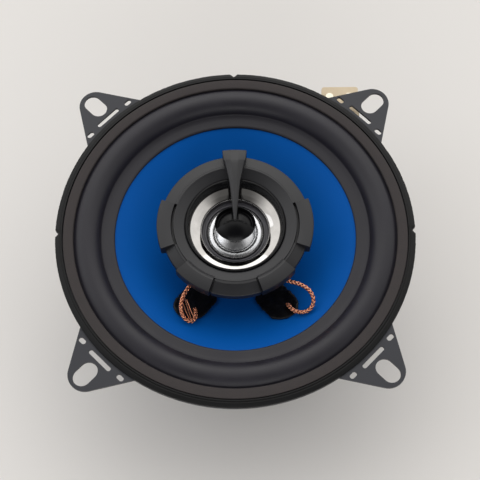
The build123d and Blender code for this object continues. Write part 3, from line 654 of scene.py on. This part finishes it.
set_piece(turned("tweeter_lip_ring", rounded(raised([
    (12.62, 1.4), (13.98, 1.4), (13.98, 4.6, 0.25), (13.35, 4.6, 0.25), (12.62, 2.4, 0.2)])),
    gloss_plastic), "frame", "black_plastic", "tweeter_lip")
horn = rounded(raised([(12.85, 1.4), (10.9, 0.8, 3.0), (9.55, 0.25, 0.6), (9.35, -1.5), (9.9, -1.5),
                       (10.4, -0.3, 0.5), (12.85, 0.6)]), 8)
set_piece(turned("chrome_horn", horn, chrome, steps=320),
          "frame", "bright_chrome", "tweeter_reflector")
set_piece(turned("clamp_ring", rounded(raised([
    (8.2, -2.3), (10.2, -2.3), (10.2, -1.55, 0.1), (9.35, -1.55, 0.05), (9.25, -1.75, 0.05),
    (8.75, -1.75, 0.05), (8.65, -1.5, 0.08), (8.2, -1.5, 0.08)])), grey_abs),
    "frame", "grey_plastic", "tweeter_mount_ring")


def cap_height(r, rim_r, rim_h, top_h):
    """The height at radius r of a round cap, top_h on the axis and rim_h at rim_r."""
    ball_r = (rim_r ** 2 + (top_h - rim_h) ** 2) / (2 * (top_h - rim_h))
    return top_h - ball_r + sqrt(ball_r ** 2 - r ** 2)


dome = [(5.4 * k / 24, cap_height(5.4 * k / 24, 5.4, -1.3, 0.2)) for k in range(24)]
roll = arc((5.4, -1.3), (6.65, -0.7), (7.9, -1.3), 16)
dome_outline = dome + roll
set_piece(turned("film_dome", [(r, h + GASKET_TOP) for r, h in dome_outline]
                 + [(r, h + GASKET_TOP - 0.12) for r, h in reversed(dome_outline)],
                 metal_film, steps=192, sharp=70), "tweeter_dome", "bright_foil",
          "tweeter_diaphragm")

# %% [markdown]
# The bridge is a thin tapered strut with a broad foot on the ring. It is lofted: a list of stations
# gives the height, the foot and the half width at each distance from the axis, and a rounded
# section joins them.

# %% Bridge
STATIONS = ((22.0, 2.6, 6.9, 3.45, 0.45), (21.6, 2.4, 7.2, 3.45, 0.45), (18.4, 3.6, 8.5, 3.1, 0.5),
            (18.0, 3.9, 8.58, 2.85, 0.6), (17.0, 4.6, 8.58, 2.6, 0.8), (14.6, 5.6, 8.5, 2.1, 0.9),
            (12.0, 6.1, 8.3, 1.55, 0.8), (9.0, 5.9, 8.1, 1.2, 0.65), (6.0, 5.6, 7.9, 0.9, 0.5),
            (3.0, 5.1, 7.6, 0.6, 0.35), (0.0, 4.6, 7.15, 0.35, 0.25))
bridge_points, bridge_faces = [], []
bridge_out = Vector((cos(radians(BRIDGE)), sin(radians(BRIDGE)), 0))
bridge_side = Vector((-bridge_out.y, bridge_out.x, 0))
for u, low, top, half, fillet in STATIONS:
    shoulder = top - 0.9 * fillet
    flat = 0.35 * half
    outline = rounded([(half, low, 0.12), (half, shoulder, 0.5 * fillet), (flat, top, fillet),
                       (-flat, top, fillet), (-half, shoulder, 0.5 * fillet),
                       (-half, low, 0.12)], 4)
    for y, h in outline:
        bridge_points.append(bridge_out * u + bridge_side * y + Vector((0, 0, h + GASKET_TOP)))
ring_size = len(bridge_points) // len(STATIONS)
for s in range(len(STATIONS) - 1):
    for j in range(ring_size):
        k = (j + 1) % ring_size
        bridge_faces.append((s * ring_size + j, s * ring_size + k, (s + 1) * ring_size + k,
                             (s + 1) * ring_size + j))
bridge_faces.append(tuple(range(ring_size)))
bridge_faces.append(tuple(len(bridge_points) - ring_size + j for j in range(ring_size)))
set_piece(as_piece("bridge_strut", bridge_points, bridge_faces, abs_plastic, 40),
          "frame", "black_plastic", "tweeter_bridge")

# %% [markdown]
# The plug under its end spreads the sound. It is a black half ball with two scoops, one on each
# side of the strut, that end in a curved crease across the middle. The scoops are pressed into a
# turned cap by moving its points down.

# %% Plug
PLUG_R, PLUG_RIM, PLUG_TOP = 5.7, 5.0, 7.0
SCOOP_DEEP, SCOOP_EDGE, RIM_WIDE, CREASE, FLATTEN = 1.7, 0.7, 0.9, 0.4, 0.1
rim_steps = [PLUG_R * sin(radians(90 * k / 48)) for k in range(49)]
plug_outline = [(0, PLUG_TOP)] + [(r, cap_height(r, PLUG_R, PLUG_RIM, PLUG_TOP))
                                  for r in rim_steps[1:]]
plug_outline += [(5.6, 4.6), (5.2, 4.15), (4.4, 3.75), (0, 3.6)]
plug = turned("round_plug", raised(plug_outline), gloss_plastic, steps=160, sharp=50)
for vertex in plug.data.vertices:
    along = vertex.co.xyz.dot(bridge_out) / MM
    across = abs(vertex.co.xyz.dot(bridge_side) / MM)
    height = vertex.co.z / MM - GASKET_TOP
    if height > PLUG_RIM - 0.2:
        start = 0.3 - 0.08 * across ** 2
        dip = smooth_share((along - start) / SCOOP_EDGE) * smooth_share((across - 0.1) / 0.9)
        fade = smooth_share((PLUG_R - vertex.co.xy.length / MM) / RIM_WIDE)
        crease = CREASE * exp(-((along - start) / 0.22) ** 2) * smooth_share((4.0 - across) / 2)
        vertex.co.z += (crease - SCOOP_DEEP * dip) * fade * MM
    vertex.co -= bridge_out * along * FLATTEN * MM
set_piece(plug, "frame", "black_plastic", "tweeter_bridge")

# %% [markdown]
# Two tongues of black glue hold the wires to the cone. Glue has no edges at all, so its CAD solid
# is remeshed at a fraction of a millimetre, smoothed, and given slow lumps with noise.

# %% Glue
def poured(node, name, material, voxel_mm, smooth_steps, lump_mm):
    """A CAD solid melted into a soft, lumpy blob."""
    piece = softened(node, material, 0.01)
    piece.name = name
    melt = piece.modifiers.new("melt", "REMESH")
    melt.mode, melt.voxel_size = "VOXEL", voxel_mm * MM
    relax = piece.modifiers.new("relax", "SMOOTH")
    relax.iterations, relax.factor = smooth_steps, 0.5
    view = bpy.context.evaluated_depsgraph_get()
    mesh = bpy.data.meshes.new_from_object(piece.evaluated_get(view), depsgraph=view)
    piece.modifiers.clear()
    piece.data = mesh
    for vertex in mesh.vertices:
        wave = noise.noise(vertex.co / (3.2 * MM)) + 0.4 * noise.noise(vertex.co / (1.1 * MM))
        vertex.co += vertex.normal * wave * lump_mm * MM
    mesh.shade_smooth()
    return piece


set_piece(poured("cone_glue", "glue_tongues", black_glue, 0.35, 6, 0.35), "cone", "black_glue",
          "cone_glue")
set_piece(poured("capacitor_glue", "capacitor_bed", hot_melt, 0.4, 5, 0.3), "frame",
          "black_glue", "capacitor_glue")

# %% [markdown]
# The tweeter's leads are bare copper braid. Each follows its route as one smooth curve, and six
# strands wind round that curve in opposite directions. The rule duplicates the curve, turns each
# copy about the tangent with its own phase, and gives it a round section.

# %% Braid rule
braid_rule, size = new_rule("braid_on_a_route", {
    "Strands": "Int", "Lay Radius": "Float", "Strand Radius": "Float", "Twists": "Float",
    "Finish": "Material"})
route = add_node(braid_rule, "GeometryNodeMeshToCurve", links={"Mesh": size["Geometry"]})
copies = add_node(braid_rule, "GeometryNodeDuplicateElements",
                  links={"Geometry": route.outputs["Curve"], "Amount": size["Strands"]},
                  domain="SPLINE")
travel = add_node(braid_rule, "GeometryNodeSplineParameter")
parity = add_node(braid_rule, "ShaderNodeMath", {1: 2.0},
                  {0: copies.outputs["Duplicate Index"]}, operation="MODULO")
hand = add_node(braid_rule, "ShaderNodeMath", {1: -2.0, 2: 1.0}, {0: parity.outputs[0]},
                operation="MULTIPLY_ADD")
share = add_node(braid_rule, "ShaderNodeMath",
                 links={0: copies.outputs["Duplicate Index"], 1: size["Strands"]},
                 operation="DIVIDE")
swirl = add_node(braid_rule, "ShaderNodeMath",
                 links={0: travel.outputs["Factor"], 1: size["Twists"]}, operation="MULTIPLY")
handed = add_node(braid_rule, "ShaderNodeMath",
                  links={0: swirl.outputs[0], 1: hand.outputs[0], 2: share.outputs[0]},
                  operation="MULTIPLY_ADD")
phase = add_node(braid_rule, "ShaderNodeMath", {1: 2 * pi}, {0: handed.outputs[0]},
                 operation="MULTIPLY")
tangent = add_node(braid_rule, "GeometryNodeInputTangent")
normal = add_node(braid_rule, "GeometryNodeInputNormal")
spoke = add_node(braid_rule, "ShaderNodeVectorRotate",
                 links={"Vector": normal.outputs[0], "Axis": tangent.outputs[0],
                        "Angle": phase.outputs[0]}, rotation_type="AXIS_ANGLE")
offset = add_node(braid_rule, "ShaderNodeVectorMath",
                  links={0: spoke.outputs[0], "Scale": size["Lay Radius"]}, operation="SCALE")
laid = add_node(braid_rule, "GeometryNodeSetPosition",
                links={"Geometry": copies.outputs["Geometry"], "Offset": offset.outputs[0]})
strand = add_node(braid_rule, "GeometryNodeCurvePrimitiveCircle", {"Resolution": 7},
                  {"Radius": size["Strand Radius"]})
braid = add_node(braid_rule, "GeometryNodeCurveToMesh", {"Fill Caps": True},
                 {"Curve": laid.outputs["Geometry"], "Profile Curve": strand.outputs["Curve"]})
close_rule(braid_rule, braid.outputs["Mesh"])
print("braid rule has", len(braid_rule.nodes), "nodes")

# %% [markdown]
# Each route's points are the ones that the CAD leads use, as the control points of a smooth spline.
# The leads are held at both ends, by the tweeter or a terminal at one and by the cone at the other,
# so each one bends between the two bodies along its own length.

# %% Leads
STRANDS, STRAND_R, LAY_LENGTH = 6, 0.2, 3.4
ROUTES = {
    "copper_braid_left": ("tweeter_lead_left", "copper_braid", copper, 0.62, (
        (-0.2, -14.2, 43.6), (1.5, -17.6, 44.2), (2.3, -21.2, 44.9), (3.2, -24.6, 44.5),
        (5.2, -27.0, 43.2), (7.6, -27.7, 41.8), (9.2, -26.4, 40.6), (8.4, -24.0, 39.5),
        (6.2, -22.6, 37.9))),
    "copper_braid_right": ("tweeter_lead_right", "copper_braid", copper, 0.62, (
        (14.2, -1.4, 43.6), (17.6, -1.3, 44.5), (20.8, -0.4, 45.2), (24.2, 1.6, 45.2),
        (27.6, 2.2, 44.4), (30.2, 0.6, 43.0), (30.4, -2.2, 41.9), (28.0, -4.3, 41.2),
        (25.6, -4.3, 40.4), (24.0, -3.6, 38.8))),
    "rear_braid_positive": ("rear_lead_positive", "tinsel_lead", tinsel, 0.52, (
        (-7.4, 46.0, 36.4), (-6.6, 42.6, 34.0), (-5.6, 37.6, 32.6), (-4.8, 32.2, 32.2),
        (-4.4, 27.2, 33.2), (-4.3, 23.4, 35.8))),
    "rear_braid_negative": ("rear_lead_negative", "tinsel_lead", tinsel, 0.52, (
        (-1.4, 46.8, 36.4), (-0.2, 42.8, 33.6), (1.2, 37.8, 31.9), (2.4, 32.4, 31.6),
        (3.4, 27.4, 32.9), (4.0, 23.6, 35.8)))}


def route_points(name, points_mm, resolution=16):
    """Points along the smooth spline whose control points are the route's."""
    curve = bpy.data.curves.new(name + "_route", "CURVE")
    curve.dimensions, curve.resolution_u = "3D", resolution
    spline = curve.splines.new("NURBS")
    spline.points.add(len(points_mm) - 1)
    for point, co in zip(spline.points, points_mm):
        point.co = (*(c * MM for c in co), 1.0)
    spline.order_u, spline.use_endpoint_u = 3, True
    holder = bpy.data.objects.new(name + "_route", curve)
    bpy.context.scene.collection.objects.link(holder)
    view = bpy.context.evaluated_depsgraph_get()
    line = bpy.data.meshes.new_from_object(holder.evaluated_get(view), depsgraph=view)
    places = [v.co.copy() for v in line.vertices]
    bpy.data.objects.remove(holder)
    bpy.data.curves.remove(curve)
    bpy.data.meshes.remove(line)
    return places


def share_along(places):
    """A share of the cone that grows along a route from 0 to 1."""
    tree = KDTree(len(places))
    for i, place in enumerate(places):
        tree.insert(place, i)
    tree.balance()
    return lambda co: smooth_share(tree.find(co * MM)[1] / (len(places) - 1))


for name, (node, slot_name, metal, lead_r, points_mm) in ROUTES.items():
    places = route_points(name, points_mm)
    length = sum((b - a).length for a, b in zip(places, places[1:]))
    lead = grown(name, braid_rule, {
        "Strands": STRANDS, "Lay Radius": (lead_r - STRAND_R) * MM,
        "Strand Radius": STRAND_R * MM, "Twists": length / MM / LAY_LENGTH,
        "Finish": metal}, places, [(i, i + 1) for i in range(len(places) - 1)])
    blend_with(lead, share_along(places))
    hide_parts(node)
    print(name, round(length / MM, 1), "mm long,", len(lead.data.polygons), "faces")

# %% [markdown]
# Where the left lead turns back on itself, a few of its thin strands have come loose and run
# straight across the loop. They are single wires by the same rule, and bend with that lead.

# %% Loose strands
LOOSE_R = 0.1
STRAYS = (((3.6, -23.8, 44.1), (6.4, -25.2, 42.5), (8.5, -26.2, 41.2)),
          ((4.2, -23.6, 43.8), (6.6, -24.6, 42.1), (8.4, -25.2, 40.8)),
          ((3.4, -24.6, 44.2), (6.0, -26.0, 42.8), (8.2, -26.6, 41.5)))
stray_points, stray_edges = [], []
for points_mm in STRAYS:
    places = route_points("stray", points_mm)
    first = len(stray_points)
    stray_points += places
    stray_edges += [(first + k, first + k + 1) for k in range(len(places) - 1)]
strays = grown("loose_strands", braid_rule, {
    "Strands": 1, "Lay Radius": 0.0, "Strand Radius": LOOSE_R * MM, "Twists": 0.0,
    "Finish": copper}, stray_points, stray_edges)
left_lead = route_points("copper_braid_left", ROUTES["copper_braid_left"][-1])
blend_with(strays, share_along(left_lead))
print("loose strands", len(strays.data.polygons), "faces")

# %% [markdown]
# The terminals sit on a small fibre board, riveted to a lug of the basket next to one ear, with a
# wide and a narrow tab. The crossover capacitor is glued into a window of the basket.

# %% Terminals and capacitor
fibre_board = base_finish("fibre_board", "#cdb99a", "#e0d0b4", 0.7, 6.0, 0.5, 0.02)
set_piece(softened("terminal_board", fibre_board, 0.08), "frame", "fibre_board",
          "terminal_board")
set_piece(softened("board_rivet", tin_plate, 0.1), "frame", "rivet_metal", "board_rivet")
for node in ("terminal_tab_positive", "terminal_tab_negative"):
    set_piece(softened(node, tin_plate, 0.1), "frame", "tinned_brass", node)
set_piece(softened("crossover_capacitor", sleeve, 0.3), "frame", "capacitor_sleeve",
          "crossover_capacitor")

# %% [markdown]
# The tweeter's own small motor hides under the dome. Its CAD nodes stay as they are and only get
# their finishes.

# %% Hidden motor parts
for node, finish in (("tweeter_yoke", phosphate), ("tweeter_magnet", zinc_plate),
                     ("tweeter_pole_plate", phosphate), ("tweeter_voice_coil", enamel)):
    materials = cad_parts[node].data.materials
    for i in range(len(materials)):
        materials[i] = finish
    print(node, "finished with", finish.name)

# %% [markdown]
# A pale table top stands in a soft room. The room's light is a sky that is bright beyond the far
# side and falls off smoothly, with a dim patch above the near side, as if someone leans over the
# table. Three weak area lights add to it: a window beyond the far side, a panel on the left, and a
# fill from the near side that lightens the shadow.

# %% Stage, light and camera
table_paint = base_finish("matt_table_top", "#dcd9d6", "#e2dfdc", 0.8, 300.0, 2.0, 0.002)
TABLE = 1500
floor = as_piece("table_top", [(-TABLE, -TABLE, 0), (TABLE, -TABLE, 0), (TABLE, TABLE, 0),
                               (-TABLE, TABLE, 0)], [(0, 1, 2, 3)], table_paint)

scene = bpy.context.scene
RANGE = ("From Min", "From Max", "To Min", "To Max")
BRIGHT_SIDE, SKY_RANGE = (-0.62, 0.62, 0.48), (-0.4, 1.0, 0.4, 1.7)
DIM_SIDE, DIM_RANGE = (0.27, -0.27, 0.92), (0.78, 0.96, 1.0, 0.15)
sky = bpy.data.worlds.new("soft_room")
sky.use_nodes = True
room = sky.node_tree
toward = add_node(room, "ShaderNodeTexCoord").outputs["Generated"]
levels = []
for way, limits in ((BRIGHT_SIDE, SKY_RANGE), (DIM_SIDE, DIM_RANGE)):
    facing = add_node(room, "ShaderNodeVectorMath", {1: Vector(way).normalized()}, {0: toward},
                      operation="DOT_PRODUCT")
    levels.append(add_node(room, "ShaderNodeMapRange", dict(zip(RANGE, limits)),
                           {"Value": facing.outputs["Value"]},
                           interpolation_type="SMOOTHSTEP").outputs["Result"])
level = add_node(room, "ShaderNodeMath", links={0: levels[0], 1: levels[1]}, operation="MULTIPLY")
room.links.new(level.outputs[0], room.nodes["Background"].inputs["Strength"])
room.nodes["Background"].inputs["Color"].default_value = srgb("#f6f5f3")
scene.world = sky


def panel(name, place_mm, aim_mm, width_mm, height_mm, watts, colour):
    """A soft area light at a place in mm, turned to a point."""
    lamp = bpy.data.lights.new(name, "AREA")
    lamp.shape, lamp.size, lamp.size_y = "RECTANGLE", width_mm * MM, height_mm * MM
    lamp.energy, lamp.color = watts, srgb(colour)[:3]
    holder = bpy.data.objects.new(name, lamp)
    scene.collection.objects.link(holder)
    holder.location = Vector(place_mm) * MM
    holder.rotation_euler = (Vector(aim_mm) - Vector(place_mm)).to_track_quat("-Z", "Y").to_euler()
    return holder


TARGET = (0, 0, 45)
panel("far_window", (-520, 520, 760), TARGET, 700, 500, 1.2, "#fffdfa")
panel("left_panel", (-620, -480, 640), TARGET, 500, 500, 0.7, "#f4f8ff")
panel("near_fill", (470, -470, 420), TARGET, 700, 300, 1.5, "#ffffff")

ELEVATION, DISTANCE_MM, ROLL_DEGREES = radians(67.7), 340.0, 0.64
AIM_RIGHT, AIM_UP = 1.30, -2.66
right = Vector((1, 1, 0)).normalized()
VIEW = Vector((right.y, -right.x, 0)) * cos(ELEVATION) + Vector((0, 0, sin(ELEVATION)))
up = VIEW.cross(right)
AIM = Vector((0, 0, GASKET_TOP)) + right * AIM_RIGHT + up * AIM_UP
tilt = radians(ROLL_DEGREES)
up_rolled = up * cos(tilt) + right * sin(tilt)
right_rolled = up_rolled.cross(VIEW)
eye = bpy.data.cameras.new("eye")
eye.lens, eye.sensor_width = 90.3, 36.0
eye.clip_start, eye.clip_end = 0.01, 10.0
camera = bpy.data.objects.new("eye", eye)
scene.collection.objects.link(camera)
turn = camera.matrix_world.to_3x3()
turn.col[0], turn.col[1], turn.col[2] = right_rolled, up_rolled, VIEW
camera.matrix_world = turn.to_4x4()
camera.location = (AIM + VIEW * DISTANCE_MM) * MM
scene.camera = camera
scene.view_settings.view_transform = "Standard"
print("camera at", [round(c, 3) for c in camera.location])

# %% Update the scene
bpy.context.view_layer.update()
